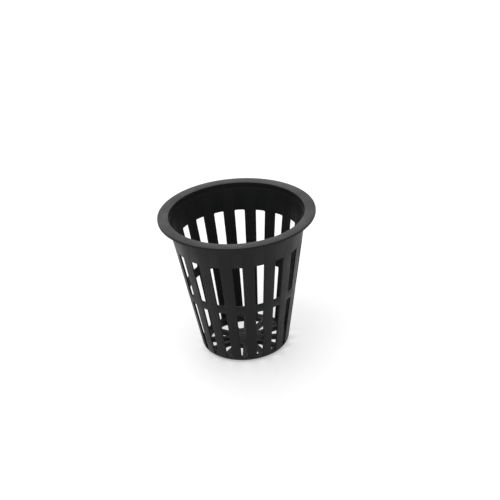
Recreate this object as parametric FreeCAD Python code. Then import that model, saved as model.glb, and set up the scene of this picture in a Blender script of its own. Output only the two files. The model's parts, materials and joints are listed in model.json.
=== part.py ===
import FreeCAD, Part
import math
import os

# Hydroponic net pot: a tapered basket moulded in one piece, with a flat rim to hang by,
# eighteen slots in two tiers round the wall and a pierced base. Millimetres, axis on Z,
# base on Z = 0. The front of the pot faces -Y, and a slot and a base spoke lie on it.

# Overall form
OVERALL_HEIGHT = 49.2
MOUTH_DIAMETER = 45.0
RIM_DIAMETER = 52.3
RIM_THICKNESS = 0.8
WALL_TOP_DIAMETER = 46.1      # outside of the wall, carried up to the rim's top
WALL_FOOT_DIAMETER = 29.1     # outside of the wall, carried down to the base plane
WALL_THICKNESS = 0.8          # measured square to the axis
FLOOR_THICKNESS = 1.4

# Rounding
FOOT_ROUND = 2.2              # outside corner of wall and base
WELL_ROUND = 1.4              # inside corner of wall and floor
UNDER_RIM_ROUND = 0.7         # outside, where the wall meets the rim
RIM_EDGE_ROUND = 0.3
MOUTH_EDGE_ROUND = 0.2
LEDGE_DEPTH = 1.3             # from the rim's top down to the stacking ledge
LEDGE_ROUND = 0.15

# Wall slots
SLOT_COUNT = 18
SLOT_TOP_WIDTH = 3.4          # at the upper tier's top
SLOT_FOOT_WIDTH = 2.1         # at the lower tier's foot
SLOT_TOP_BAND = 9.5           # plain wall left under the rim's top
SLOT_FOOT_LIFT = 0.3          # from the floor's top up to the lower tier
MID_RING_HEIGHT = 2.4
MID_RING_SHARE = 0.545        # the ring's middle, as a share of the slotted height
SLOT_CORNER_ROUND = 0.35

# Base openings
SPOKE_COUNT = 12
SPOKE_WIDTH = 1.6
HUB_DIAMETER = 11.4
BASE_MARGIN = 1.6             # solid floor left inside the wall
BASE_CORNER_ROUND = 0.35

AXIS = FreeCAD.Vector(0, 0, 1)
ORIGIN = FreeCAD.Vector(0, 0, 0)
THROUGH = 3.0                 # how far a cutter stands out past what it cuts


def outer_radius(height):
    """Outside radius of the tapered wall at a height."""
    share = height / OVERALL_HEIGHT
    return (WALL_FOOT_DIAMETER + (WALL_TOP_DIAMETER - WALL_FOOT_DIAMETER) * share) / 2


def inner_radius(height):
    """Inside radius of the tapered wall at a height."""
    return outer_radius(height) - WALL_THICKNESS


def section_point(radius, height):
    return FreeCAD.Vector(radius, 0, height)


def circular_edges(solid, radius, height):
    """Edges of a turned solid that are circles of one radius at one height."""
    found = []
    for edge in solid.Edges:
        curve = edge.Curve
        if isinstance(curve, Part.Circle):
            same_height = abs(curve.Center.z - height) < 1e-4
            if same_height and abs(curve.Radius - radius) < 1e-4:
                found.append(edge)
    return found


def turned_body():
    """Rim, ledge, wall and floor as one turned solid, with its corners rounded."""
    rim_under = OVERALL_HEIGHT - RIM_THICKNESS
    ledge = OVERALL_HEIGHT - LEDGE_DEPTH
    corners = [
        (0, 0),
        (outer_radius(0), 0),
        (outer_radius(rim_under), rim_under),
        (RIM_DIAMETER / 2, rim_under),
        (RIM_DIAMETER / 2, OVERALL_HEIGHT),
        (MOUTH_DIAMETER / 2, OVERALL_HEIGHT),
        (MOUTH_DIAMETER / 2, ledge),
        (inner_radius(ledge), ledge),
        (inner_radius(FLOOR_THICKNESS), FLOOR_THICKNESS),
        (0, FLOOR_THICKNESS),
    ]
    outline = [section_point(radius, height) for radius, height in corners]
    section = Part.Face(Part.makePolygon(outline + outline[:1]))
    body = section.revolve(ORIGIN, AXIS, 360)
    rounds = [
        (corners[1], FOOT_ROUND),
        (corners[2], UNDER_RIM_ROUND),
        (corners[3], RIM_EDGE_ROUND),
        (corners[4], RIM_EDGE_ROUND),
        (corners[5], MOUTH_EDGE_ROUND),
        (corners[7], LEDGE_ROUND),
        (corners[8], WELL_ROUND),
    ]
    for (radius, height), size in rounds:
        body = body.makeFillet(size, circular_edges(body, radius, height))
    return body


def slot_tiers():
    """Foot and top heights of the lower and the upper tier of slots."""
    foot = FLOOR_THICKNESS + SLOT_FOOT_LIFT
    top = OVERALL_HEIGHT - SLOT_TOP_BAND
    ring_middle = foot + (top - foot) * MID_RING_SHARE
    lower_top = ring_middle - MID_RING_HEIGHT / 2
    upper_foot = ring_middle + MID_RING_HEIGHT / 2
    return (foot, lower_top), (upper_foot, top)


def slot_width(height):
    """Slot width at a height: the slots narrow with the pot."""
    foot = slot_tiers()[0][0]
    top = slot_tiers()[1][1]
    share = (height - foot) / (top - foot)
    return SLOT_FOOT_WIDTH + (SLOT_TOP_WIDTH - SLOT_FOOT_WIDTH) * share


def slot_cutter(foot, top):
    """A tapered bar that cuts one slot through the wall on the -Y side."""
    near = inner_radius(foot) - THROUGH
    reach = outer_radius(top) + THROUGH - near
    half_foot = slot_width(foot) / 2
    half_top = slot_width(top) / 2
    outline = [
        FreeCAD.Vector(-half_foot, -near, foot),
        FreeCAD.Vector(half_foot, -near, foot),
        FreeCAD.Vector(half_top, -near, top),
        FreeCAD.Vector(-half_top, -near, top),
    ]
    face = Part.Face(Part.makePolygon(outline + outline[:1]))
    bar = face.extrude(FreeCAD.Vector(0, -reach, 0))
    long_edges = [edge for edge in bar.Edges if abs(edge.Length - reach) < 1e-6]
    return bar.makeFillet(SLOT_CORNER_ROUND, long_edges)


def ring_of(shape, count, first_turn=0.0):
    """Copies of a shape, evenly turned round the axis."""
    copies = []
    for index in range(count):
        copy = shape.copy()
        copy.rotate(ORIGIN, AXIS, first_turn + 360.0 * index / count)
        copies.append(copy)
    return copies


def base_opening_cutter():
    """One opening between two spokes, centred on the -Y side."""
    inner = HUB_DIAMETER / 2
    outer = inner_radius(FLOOR_THICKNESS) - BASE_MARGIN
    half_pitch = math.pi / SPOKE_COUNT

    def on_spoke_edge(radius, side):
        angle = half_pitch - math.asin(SPOKE_WIDTH / 2 / radius)
        return FreeCAD.Vector(side * radius * math.sin(angle), -radius * math.cos(angle), 0)

    def on_middle(radius):
        return FreeCAD.Vector(0, -radius, 0)

    edges = [
        Part.Arc(on_spoke_edge(inner, -1), on_middle(inner), on_spoke_edge(inner, 1)).toShape(),
        Part.LineSegment(on_spoke_edge(inner, 1), on_spoke_edge(outer, 1)).toShape(),
        Part.Arc(on_spoke_edge(outer, 1), on_middle(outer), on_spoke_edge(outer, -1)).toShape(),
        Part.LineSegment(on_spoke_edge(outer, -1), on_spoke_edge(inner, -1)).toShape(),
    ]
    height = FLOOR_THICKNESS + 2 * THROUGH
    block = Part.Face(Part.Wire(edges)).extrude(FreeCAD.Vector(0, 0, height))
    block.translate(FreeCAD.Vector(0, 0, -THROUGH))
    upright = [edge for edge in block.Edges if abs(edge.Length - height) < 1e-6]
    return block.makeFillet(BASE_CORNER_ROUND, upright)


def net_pot():
    body = turned_body()
    cutters = []
    for foot, top in slot_tiers():
        cutters += ring_of(slot_cutter(foot, top), SLOT_COUNT)
    cutters += ring_of(base_opening_cutter(), SPOKE_COUNT, 180.0 / SPOKE_COUNT)
    return body.cut(cutters).removeSplitter()


def main():
    os.makedirs("parts", exist_ok=True)
    pot = net_pot()
    pot.Solids[0].exportStep("parts/net_pot.step")
    print("net_pot", len(pot.Solids), "solid", pot.isValid(), round(pot.Volume, 2), "mm3")


main()
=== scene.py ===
import json
import logging
import math
from collections.abc import Callable
from dataclasses import dataclass, field
from enum import Enum

import bpy
from mathutils import Matrix, Quaternion, Vector

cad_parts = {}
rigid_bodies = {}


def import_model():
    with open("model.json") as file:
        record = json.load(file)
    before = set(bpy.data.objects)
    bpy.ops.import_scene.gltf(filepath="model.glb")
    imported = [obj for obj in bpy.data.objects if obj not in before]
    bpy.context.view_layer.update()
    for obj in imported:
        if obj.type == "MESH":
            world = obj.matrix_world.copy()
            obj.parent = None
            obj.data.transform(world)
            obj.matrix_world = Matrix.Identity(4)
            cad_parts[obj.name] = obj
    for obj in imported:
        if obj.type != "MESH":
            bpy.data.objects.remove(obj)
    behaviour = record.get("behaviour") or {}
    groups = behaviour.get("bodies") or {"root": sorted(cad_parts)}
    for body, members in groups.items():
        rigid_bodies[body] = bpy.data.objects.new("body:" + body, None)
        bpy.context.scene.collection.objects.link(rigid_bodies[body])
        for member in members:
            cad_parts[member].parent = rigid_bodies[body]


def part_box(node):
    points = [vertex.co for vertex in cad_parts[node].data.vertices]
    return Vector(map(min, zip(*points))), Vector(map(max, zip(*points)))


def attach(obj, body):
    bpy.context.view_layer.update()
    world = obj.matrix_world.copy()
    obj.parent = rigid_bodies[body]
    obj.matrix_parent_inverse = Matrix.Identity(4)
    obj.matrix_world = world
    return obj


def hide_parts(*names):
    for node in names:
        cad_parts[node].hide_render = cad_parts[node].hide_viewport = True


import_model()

log = logging.getLogger("net_pot")

# The pot is modelled in millimetres, because the edit-mode tools work to fixed distances,
# and is brought down to the frame's metres as its last step.
MM = 0.001
FULL_TURN = 2 * math.pi
NEAR = 1e-3          # millimetres within which a corner counts as found
CAD_NODE = "net_pot"

# A Mix node keeps a set of sockets for each kind of data. These are the ones for colour.
MIX_FACTOR = 0
MIX_COLOUR_A = 6
MIX_COLOUR_B = 7
MIX_COLOUR_RESULT = 2


# ---------------------------------------------------------------- colour and node helpers


def linear(hex_code: str, alpha: float = 1.0) -> tuple[float, float, float, float]:
    """Turn an sRGB hex colour into the linear values that a shader takes.

    Args:
        hex_code: Six hex digits, with or without a leading hash.
        alpha: The fourth value of the result.

    Returns:
        Red, green, blue and alpha, with the colour linear.
    """
    digits = hex_code.lstrip("#")
    values = []
    for start in (0, 2, 4):
        level = int(digits[start:start + 2], 16) / 255
        values.append(level / 12.92 if level <= 0.04045 else ((level + 0.055) / 1.055) ** 2.4)
    return values[0], values[1], values[2], alpha


def add_node(tree: bpy.types.NodeTree, kind: str, settings: dict | None = None,
             **links: object) -> bpy.types.Node:
    """Add one node, set it up and link its inputs.

    Args:
        tree: The node tree that the node goes into.
        kind: The node's type name.
        settings: Values by name, for properties of the node or else for its inputs.
        **links: For each input, named with underscores for spaces, the output feeding it.

    Returns:
        The new node.
    """
    node = tree.nodes.new(kind)
    for name, value in (settings or {}).items():
        if hasattr(node, name):
            setattr(node, name, value)
        else:
            node.inputs[name].default_value = value
    for name, output in links.items():
        tree.links.new(output, node.inputs[name.replace("_", " ")])
    return node


# ---------------------------------------------------------------- edit-mode helpers


def deselect_all() -> None:
    """Leave nothing selected, so that an operator can't reach an older object."""
    for item in bpy.context.view_layer.objects:
        item.select_set(False)


def make_active(item: bpy.types.Object) -> None:
    """Select one object alone and make it the active one."""
    deselect_all()
    item.select_set(True)
    bpy.context.view_layer.objects.active = item


def apply_place(item: bpy.types.Object) -> None:
    """Put an object's place, turn and size into its mesh."""
    make_active(item)
    bpy.ops.object.transform_apply(location=True, rotation=True, scale=True)


def apply_modifier(item: bpy.types.Object, kind: str, **settings: object) -> None:
    """Give an object one modifier and apply it at once.

    Args:
        item: The object whose mesh changes.
        kind: The modifier's type name.
        **settings: The modifier's properties.
    """
    make_active(item)
    modifier = item.modifiers.new(kind.lower(), kind)
    for name, value in settings.items():
        setattr(modifier, name, value)
    bpy.ops.object.modifier_apply(modifier=modifier.name)


def select_vertices(item: bpy.types.Object, wanted: Callable[[Vector], bool]) -> int:
    """Select, in object mode, the vertices that a test picks, and nothing else.

    Args:
        item: A mesh object that isn't in edit mode.
        wanted: A test on a vertex's place, in the mesh's own units.

    Returns:
        How many vertices were selected.
    """
    mesh = item.data
    for part in (*mesh.polygons, *mesh.edges, *mesh.vertices):
        part.select = False
    count = 0
    for vertex in mesh.vertices:
        if wanted(vertex.co):
            vertex.select = True
            count += 1
    return count


def select_edges(item: bpy.types.Object, wanted: Callable[[Vector, Vector], bool]) -> None:
    """Select, in object mode, the edges that a test picks, and nothing else.

    Args:
        item: A mesh object that isn't in edit mode.
        wanted: A test on the places of an edge's two ends.
    """
    mesh = item.data
    select_vertices(item, lambda place: False)
    for edge in mesh.edges:
        ends = [mesh.vertices[index].co for index in edge.vertices]
        if wanted(*ends):
            edge.select = True
            for index in edge.vertices:
                mesh.vertices[index].select = True


def copies_round(item: bpy.types.Object, count: int) -> list[bpy.types.Object]:
    """Copy an object evenly round the Z axis, each copy with a mesh of its own.

    Args:
        item: The object to copy, which stays as it is and is the first of the ring.
        count: How many there are in the ring, the original included.

    Returns:
        The objects of the ring.
    """
    ring = [item]
    for _ in range(count - 1):
        copy = item.copy()
        copy.data = item.data.copy()
        bpy.context.scene.collection.objects.link(copy)
        ring.append(copy)
    for index, copy in enumerate(ring):
        copy.rotation_euler.z = FULL_TURN * index / count
        apply_place(copy)
    return ring


def join(items: list[bpy.types.Object], name: str) -> bpy.types.Object:
    """Join mesh objects into one and name it."""
    make_active(items[0])
    for item in items:
        item.select_set(True)
    bpy.ops.object.join()
    joined = bpy.context.view_layer.objects.active
    joined.name = name
    return joined


# ---------------------------------------------------------------- finishes


@dataclass(frozen=True)
class MouldedPolypropylene:
    """Black polypropylene, injection moulded in a lightly blasted tool.

    The carbon black leaves almost no colour of its own, so what shows is a broad, soft
    sheen that a fine grain breaks up, and a faint cloudiness where the melt has flowed.
    """

    name: str = "moulded_polypropylene"
    dark: str = "#0d0e10"
    light: str = "#121315"
    roughness_low: float = 0.42
    roughness_high: float = 0.56
    index_of_refraction: float = 1.49
    specular_level: float = 0.2      # the blasted skin scatters most of the mirror sheen
    grain_mm: float = 0.35           # blasted grain, drawn coarse enough to show
    grain_depth_mm: float = 0.012
    grain_strength: float = 0.6
    flow_mm: float = 9.0             # length of the cloudy patches
    flow_low: float = 0.3            # the flow's levels that give the lowest and the
    flow_high: float = 0.7           # highest roughness

    @staticmethod
    def noise(tree: bpy.types.NodeTree, place: bpy.types.NodeSocket, size_mm: float,
              detail: float, roughness: float) -> bpy.types.NodeSocket:
        """Add a noise whose features are about one size.

        Args:
            tree: The node tree that the noise goes into.
            place: The coordinates that it reads.
            size_mm: The size of its features.
            detail: How many finer layers it has.
            roughness: How strong the finer layers are.

        Returns:
            The noise's level, from 0 to 1.
        """
        settings = {"Scale": 1 / (size_mm * MM), "Detail": detail, "Roughness": roughness}
        return add_node(tree, "ShaderNodeTexNoise", settings, Vector=place).outputs["Fac"]

    def build(self) -> bpy.types.Material:
        """Make the material.

        Returns:
            The material, with its nodes linked.
        """
        material = bpy.data.materials.new(self.name)
        material.use_nodes = True
        tree = material.node_tree
        tree.nodes.clear()
        place = add_node(tree, "ShaderNodeTexCoord").outputs["Object"]
        flow = self.noise(tree, place, self.flow_mm, detail=3.0, roughness=0.6)
        grain = self.noise(tree, place, self.grain_mm, detail=2.0, roughness=0.55)
        colour = add_node(tree, "ShaderNodeMix", {"data_type": "RGBA"})
        colour.inputs[MIX_COLOUR_A].default_value = linear(self.dark)
        colour.inputs[MIX_COLOUR_B].default_value = linear(self.light)
        tree.links.new(flow, colour.inputs[MIX_FACTOR])
        roughness = add_node(tree, "ShaderNodeMapRange",
                             {"From Min": self.flow_low, "From Max": self.flow_high,
                              "To Min": self.roughness_low, "To Max": self.roughness_high},
                             Value=flow)
        bump = add_node(tree, "ShaderNodeBump",
                        {"Strength": self.grain_strength,
                         "Distance": self.grain_depth_mm * MM},
                        Height=grain)
        shader = add_node(tree, "ShaderNodeBsdfPrincipled",
                          {"IOR": self.index_of_refraction,
                           "Specular IOR Level": self.specular_level},
                          Base_Color=colour.outputs[MIX_COLOUR_RESULT],
                          Roughness=roughness.outputs["Result"],
                          Normal=bump.outputs["Normal"])
        add_node(tree, "ShaderNodeOutputMaterial", Surface=shader.outputs["BSDF"])
        return material


# ---------------------------------------------------------------- the pot


class Tier(Enum):
    """The two tiers of slots, with a plain ring between them."""

    LOWER = "lower"
    UPPER = "upper"


@dataclass
class NetPot:
    """The net pot: a turned body with slots round its wall and openings in its base.

    Sizes are in millimetres, on the frame's axes. The overall height and the rim's
    diameter are read from the frame.
    """

    height: float
    rim_diameter: float
    mouth_diameter: float = 45.0
    rim_thickness: float = 0.8
    wall_top_diameter: float = 46.1
    wall_foot_diameter: float = 29.1
    wall_thickness: float = 0.5
    floor_thickness: float = 1.4
    foot_round: float = 2.2
    well_round: float = 1.4
    under_rim_round: float = 0.7
    rim_edge_round: float = 0.15
    mouth_edge_round: float = 0.2
    ledge_depth: float = 1.9
    ledge_round: float = 0.1
    slot_count: int = 18
    slot_top_width: float = 3.4
    slot_foot_width: float = 2.0
    slot_top_band: float = 9.6
    slot_foot_lift: float = 0.3
    ring_height: float = 3.0
    ring_share: float = 0.544
    slot_corner_round: float = 0.35
    spoke_count: int = 12
    spoke_width: float = 1.6
    hub_diameter: float = 11.4
    base_margin: float = 1.9
    base_corner_round: float = 0.35
    floor_lip: float = 0.2           # floor kept in the section outside the openings
    edge_softening: float = 0.1
    softening_segments: int = 2
    softened_angle: float = 40.0     # degrees past which an edge is softened
    smooth_angle: float = 50.0       # degrees up to which two faces shade as one
    corner_segments: int = 4
    wide_round: float = 0.5          # a rounding over this has the wide segments
    wide_segments: int = 6
    opening_angle: float = 50.0      # degrees past which an opening's edge is a corner
    opening_facets: int = 180
    hub_facets: int = 96
    columns_per_slot: int = 11       # keeps the column lines clear of the slots' sides
    cutter_reach: float = 3.0
    finish: MouldedPolypropylene = field(default_factory=MouldedPolypropylene)

    def outer_radius(self, height: float) -> float:
        """Outside radius of the tapered wall at a height."""
        share = height / self.height
        foot, top = self.wall_foot_diameter, self.wall_top_diameter
        return (foot + (top - foot) * share) / 2

    def inner_radius(self, height: float) -> float:
        """Inside radius of the tapered wall at a height."""
        return self.outer_radius(height) - self.wall_thickness

    def openings_radius(self) -> float:
        """Radius that the base's openings reach out to."""
        return self.inner_radius(self.floor_thickness) - self.base_margin

    def section_corners(self) -> list[tuple[float, float, float]]:
        """Corners of the wall's section, from the base's underside round to the floor.

        Returns:
            Radius, height and rounding of each corner. The first and the last lie on the
            flat of the base and have no rounding.
        """
        rim_under = self.height - self.rim_thickness
        ledge = self.height - self.ledge_depth
        start = self.openings_radius() + self.floor_lip
        return [
            (start, 0.0, 0.0),
            (self.outer_radius(0), 0.0, self.foot_round),
            (self.outer_radius(rim_under), rim_under, self.under_rim_round),
            (self.rim_diameter / 2, rim_under, self.rim_edge_round),
            (self.rim_diameter / 2, self.height, self.rim_edge_round),
            (self.mouth_diameter / 2, self.height, self.mouth_edge_round),
            (self.mouth_diameter / 2, ledge, 0.0),
            (self.inner_radius(ledge), ledge, self.ledge_round),
            (self.inner_radius(self.floor_thickness), self.floor_thickness, self.well_round),
            (start, self.floor_thickness, 0.0),
        ]

    def draw_section(self) -> bpy.types.Object:
        """Draw half of the wall's section as a line of edges and round its corners.

        Returns:
            The section, in the plane of X and Z.
        """
        corners = self.section_corners()
        deselect_all()
        bpy.ops.mesh.primitive_plane_add(size=1.0)
        section = bpy.context.active_object
        section.name = "section"
        bpy.ops.object.mode_set(mode="EDIT")
        bpy.ops.mesh.select_all(action="SELECT")
        bpy.ops.mesh.merge(type="CENTER")
        start_radius, start_height, _ = corners[0]
        bpy.ops.transform.translate(value=(start_radius, 0, start_height))
        for (radius, height, _), (next_radius, next_height, _) in zip(corners, corners[1:]):
            step = (next_radius - radius, 0, next_height - height)
            bpy.ops.mesh.extrude_region_move(TRANSFORM_OT_translate={"value": step})
        bpy.ops.object.mode_set(mode="OBJECT")
        for index, (radius, height, rounding) in enumerate(corners):
            if rounding:
                before, after = corners[index - 1], corners[index + 1]
                self.round_corner(section, before, (radius, height), after, rounding)
        return section

    def round_corner(self, section: bpy.types.Object, before: tuple[float, ...],
                     corner: tuple[float, float], after: tuple[float, ...],
                     rounding: float) -> None:
        """Round one corner of the section to a radius.

        Args:
            section: The line of edges.
            before: The corner before it, which starts with its radius and height.
            corner: Its own radius and height.
            after: The corner after it.
            rounding: The radius of the rounding.
        """
        here = Vector((corner[0], 0, corner[1]))
        back = Vector((before[0], 0, before[1])) - here
        ahead = Vector((after[0], 0, after[1])) - here
        tangent_length = rounding / math.tan(back.angle(ahead) / 2)
        found = select_vertices(section, lambda place: (place - here).length < NEAR)
        if found != 1:
            raise ValueError(f"a corner of the section was found {found} times")
        make_active(section)
        bpy.ops.object.mode_set(mode="EDIT")
        bpy.ops.mesh.select_mode(type="VERT")
        wide = rounding > self.wide_round
        segments = self.wide_segments if wide else self.corner_segments
        bpy.ops.mesh.bevel(offset=tangent_length, offset_type="OFFSET", segments=segments,
                           affect="VERTICES", profile=0.5)
        bpy.ops.object.mode_set(mode="OBJECT")

    def turn_body(self) -> bpy.types.Object:
        """Spin the section into the body and close its floor.

        Returns:
            The body with no slots or openings.
        """
        body = self.draw_section()
        body.name = "moulded_pot"
        make_active(body)
        bpy.ops.object.mode_set(mode="EDIT")
        bpy.ops.mesh.select_all(action="SELECT")
        bpy.ops.mesh.spin(steps=self.slot_count * self.columns_per_slot, angle=FULL_TURN,
                          center=(0, 0, 0), axis=(0, 0, 1))
        bpy.ops.mesh.select_all(action="SELECT")
        bpy.ops.mesh.remove_doubles(threshold=NEAR)
        bpy.ops.mesh.select_all(action="DESELECT")
        bpy.ops.mesh.select_mode(type="EDGE")
        bpy.ops.mesh.select_non_manifold()
        bpy.ops.mesh.edge_face_add()
        bpy.ops.mesh.select_all(action="SELECT")
        bpy.ops.mesh.normals_make_consistent(inside=False)
        bpy.ops.object.mode_set(mode="OBJECT")
        return body

    def tier_heights(self, tier: Tier) -> tuple[float, float]:
        """Foot and top of a tier of slots."""
        foot = self.floor_thickness + self.slot_foot_lift
        top = self.height - self.slot_top_band
        middle = foot + (top - foot) * self.ring_share
        if tier is Tier.LOWER:
            return foot, middle - self.ring_height / 2
        return middle + self.ring_height / 2, top

    def slot_width(self, height: float) -> float:
        """Width of a slot at a height."""
        foot = self.tier_heights(Tier.LOWER)[0]
        top = self.tier_heights(Tier.UPPER)[1]
        share = (height - foot) / (top - foot)
        return self.slot_foot_width + (self.slot_top_width - self.slot_foot_width) * share

    def slot_cutter(self, tier: Tier) -> bpy.types.Object:
        """Make the tapered bar that cuts one slot of a tier on the front.

        Args:
            tier: Which tier the slot is in.

        Returns:
            The bar, through the wall on the -Y side.
        """
        foot, top = self.tier_heights(tier)
        near = self.inner_radius(foot) - self.cutter_reach
        far = self.outer_radius(top) + self.cutter_reach
        deselect_all()
        bpy.ops.mesh.primitive_cube_add(
            size=1.0, location=(0, -(near + far) / 2, (foot + top) / 2),
            scale=(self.slot_width(foot), far - near, top - foot))
        bar = bpy.context.active_object
        bar.name = f"{tier.value}_slot"
        apply_place(bar)
        select_vertices(bar, lambda place: place.z > (foot + top) / 2)
        bpy.ops.object.mode_set(mode="EDIT")
        widening = self.slot_width(top) / self.slot_width(foot)
        bpy.ops.transform.resize(value=(widening, 1, 1))
        bpy.ops.object.mode_set(mode="OBJECT")
        select_edges(bar, lambda one, other: abs(one.y - other.y) > NEAR)
        bpy.ops.object.mode_set(mode="EDIT")
        bpy.ops.mesh.select_mode(type="EDGE")
        bpy.ops.mesh.bevel(offset=self.slot_corner_round, segments=self.corner_segments,
                           affect="EDGES")
        bpy.ops.object.mode_set(mode="OBJECT")
        return bar

    def base_cutter(self) -> bpy.types.Object:
        """Make the block that cuts every opening of the base.

        Returns:
            A thick ring, parted by a bar along each spoke, with its upright edges rounded.
        """
        inner, outer = self.hub_diameter / 2, self.openings_radius()
        depth = self.floor_thickness + 2 * self.cutter_reach
        middle = self.floor_thickness / 2
        deselect_all()
        bpy.ops.mesh.primitive_cylinder_add(vertices=self.opening_facets, radius=outer,
                                            depth=depth, location=(0, 0, middle))
        row = bpy.context.active_object
        apply_place(row)
        deselect_all()
        bpy.ops.mesh.primitive_cylinder_add(vertices=self.hub_facets, radius=inner,
                                            depth=2 * depth, location=(0, 0, middle))
        core = bpy.context.active_object
        apply_place(core)
        self.cut(row, [core])
        for index in range(self.spoke_count // 2):
            deselect_all()
            bpy.ops.mesh.primitive_cube_add(
                size=1.0, location=(0, 0, middle),
                rotation=(0, 0, FULL_TURN * index / self.spoke_count),
                scale=(self.spoke_width, 4 * outer, 2 * depth))
            spoke = bpy.context.active_object
            apply_place(spoke)
            self.cut(row, [spoke])
        row.name = "base_openings"
        apply_modifier(row, "BEVEL", width=self.base_corner_round,
                       segments=self.corner_segments, limit_method="ANGLE",
                       angle_limit=math.radians(self.opening_angle))
        return row

    @staticmethod
    def cut(body: bpy.types.Object, cutters: list[bpy.types.Object]) -> None:
        """Cut closed shapes out of a body and clear them away.

        Args:
            body: The object that is cut.
            cutters: The shapes, which don't cross each other.
        """
        cutter = join(cutters, "cutter")
        apply_modifier(body, "BOOLEAN", operation="DIFFERENCE", object=cutter, solver="EXACT")
        bpy.data.objects.remove(cutter)

    def build(self) -> bpy.types.Object:
        """Model the pot, dress it and put it in the frame.

        Returns:
            The finished pot, which stands for the CAD node.
        """
        body = self.turn_body()
        for tier in Tier:
            self.cut(body, copies_round(self.slot_cutter(tier), self.slot_count))
        self.cut(body, [self.base_cutter()])
        apply_modifier(body, "BEVEL", width=self.edge_softening,
                       segments=self.softening_segments, limit_method="ANGLE",
                       angle_limit=math.radians(self.softened_angle), use_clamp_overlap=True)
        body.data.transform(Matrix.Scale(MM, 4))
        make_active(body)
        bpy.ops.object.shade_smooth_by_angle(angle=math.radians(self.smooth_angle))
        body.data.materials.clear()
        body.data.materials.append(self.finish.build())
        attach(body, "root")
        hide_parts(CAD_NODE)
        return body


# ---------------------------------------------------------------- studio and camera


@dataclass(frozen=True)
class SoftLight:
    """A square soft light that faces the pot. Its size and place are in metres."""

    name: str
    watts: float
    size: float
    place: tuple[float, float, float]

    def build(self) -> bpy.types.Object:
        """Hang the light, turned to the pot.

        Returns:
            The light.
        """
        lamp = bpy.data.lights.new(self.name, "AREA")
        lamp.energy = self.watts
        lamp.size = self.size
        item = bpy.data.objects.new(self.name, lamp)
        item.location = self.place
        item.rotation_euler = (-item.location).to_track_quat("-Z", "Y").to_euler()
        bpy.context.scene.collection.objects.link(item)
        return item


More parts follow.
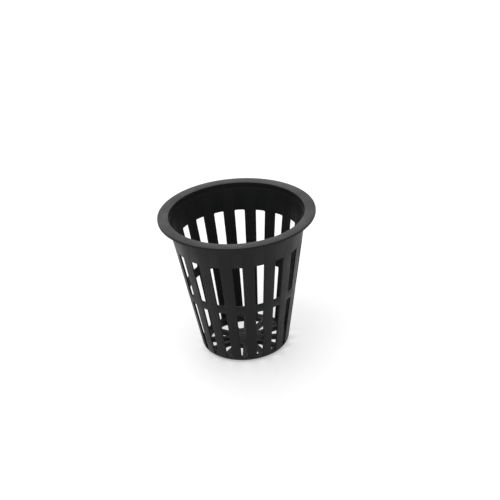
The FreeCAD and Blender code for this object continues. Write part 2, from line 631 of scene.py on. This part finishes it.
@dataclass
class Studio:
    """A pale floor under soft light, with the same white all round."""

    floor_size: float = 8.0
    floor_colour: str = "#e6e6e6"
    floor_lift: float = 0.42
    world_light: float = 0.55
    lights: tuple[SoftLight, ...] = (
        SoftLight("top_light", watts=3.0, size=0.6, place=(-0.12, -0.1, 0.85)),
        SoftLight("back_light", watts=3.5, size=0.8, place=(-0.15, 0.95, 0.55)),
    )

    @staticmethod
    def sees_backdrop(tree: bpy.types.NodeTree) -> bpy.types.NodeSocket:
        """Add the nodes that are 1 for camera, glossy and transmission rays, else 0."""
        path = add_node(tree, "ShaderNodeLightPath")
        first = add_node(tree, "ShaderNodeMath", {"operation": "MAXIMUM"})
        tree.links.new(path.outputs["Is Camera Ray"], first.inputs[0])
        tree.links.new(path.outputs["Is Glossy Ray"], first.inputs[1])
        second = add_node(tree, "ShaderNodeMath", {"operation": "MAXIMUM"})
        tree.links.new(first.outputs[0], second.inputs[0])
        tree.links.new(path.outputs["Is Transmission Ray"], second.inputs[1])
        return second.outputs[0]

    def lay_floor(self) -> bpy.types.Object:
        """Lay the floor under the pot.

        Returns:
            The floor.
        """
        deselect_all()
        bpy.ops.mesh.primitive_plane_add(size=self.floor_size)
        floor = bpy.context.active_object
        floor.name = "studio_floor"
        material = bpy.data.materials.new("studio_floor_paper")
        material.use_nodes = True
        tree = material.node_tree
        tree.nodes.clear()
        paper = add_node(tree, "ShaderNodeBsdfDiffuse", {"Color": linear(self.floor_colour)})
        strength = add_node(tree, "ShaderNodeMath", {"operation": "MULTIPLY"})
        tree.links.new(self.sees_backdrop(tree), strength.inputs[0])
        strength.inputs[1].default_value = self.floor_lift
        lift = add_node(tree, "ShaderNodeEmission", Strength=strength.outputs[0])
        both = add_node(tree, "ShaderNodeAddShader")
        tree.links.new(paper.outputs[0], both.inputs[0])
        tree.links.new(lift.outputs[0], both.inputs[1])
        add_node(tree, "ShaderNodeOutputMaterial", Surface=both.outputs[0])
        floor.data.materials.append(material)
        return floor

    def light_world(self) -> None:
        """Fill in from all round, with white where the camera looks past the floor."""
        world = bpy.data.worlds.new("studio_world")
        bpy.context.scene.world = world
        world.use_nodes = True
        tree = world.node_tree
        tree.nodes.clear()
        level = add_node(tree, "ShaderNodeMapRange",
                         {"To Min": self.world_light, "To Max": 1.0},
                         Value=self.sees_backdrop(tree))
        sky = add_node(tree, "ShaderNodeBackground", Strength=level.outputs["Result"])
        add_node(tree, "ShaderNodeOutputWorld", Surface=sky.outputs[0])

    def build(self) -> None:
        """Set up the floor, the world and the lights."""
        self.lay_floor()
        self.light_world()
        for light in self.lights:
            light.build()
        bpy.context.scene.view_settings.view_transform = "Standard"


@dataclass
class ViewPoint:
    """Where the camera stands, from the point of the pot that it looks at.

    Lengths are in millimetres and angles in degrees.
    """

    aim: tuple[float, float, float] = (3.585, 0.171, 34.689)
    azimuth: float = 2.737
    elevation: float = 27.858
    roll: float = -4.112
    distance: float = 492.13
    lens: float = 106.2
    nearest: float = 10.0            # nothing closer than this is drawn

    def build(self) -> bpy.types.Object:
        """Make the camera and look through it.

        Returns:
            The camera.
        """
        turn, lift = math.radians(self.azimuth), math.radians(self.elevation)
        away = Vector((math.sin(turn) * math.cos(lift), -math.cos(turn) * math.cos(lift),
                       math.sin(lift)))
        camera = bpy.data.objects.new("camera", bpy.data.cameras.new("camera"))
        camera.location = (Vector(self.aim) + away * self.distance) * MM
        camera.rotation_mode = "QUATERNION"
        level = (-away).to_track_quat("-Z", "Y")
        camera.rotation_quaternion = level @ Quaternion((0, 0, 1), math.radians(self.roll))
        camera.data.lens = self.lens
        camera.data.clip_start = self.nearest * MM
        bpy.context.scene.collection.objects.link(camera)
        bpy.context.scene.camera = camera
        return camera


def main() -> None:
    """Build the pot to the CAD node's box, then its studio and its view."""
    logging.basicConfig(level=logging.INFO, format="%(name)s: %(message)s")
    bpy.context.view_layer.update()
    low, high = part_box(CAD_NODE)
    pot = NetPot(height=(high.z - low.z) / MM, rim_diameter=(high.x - low.x) / MM).build()
    log.info("%s: %d faces", pot.name, len(pot.data.polygons))
    Studio().build()
    ViewPoint().build()


if __name__ == "__main__":
    main()
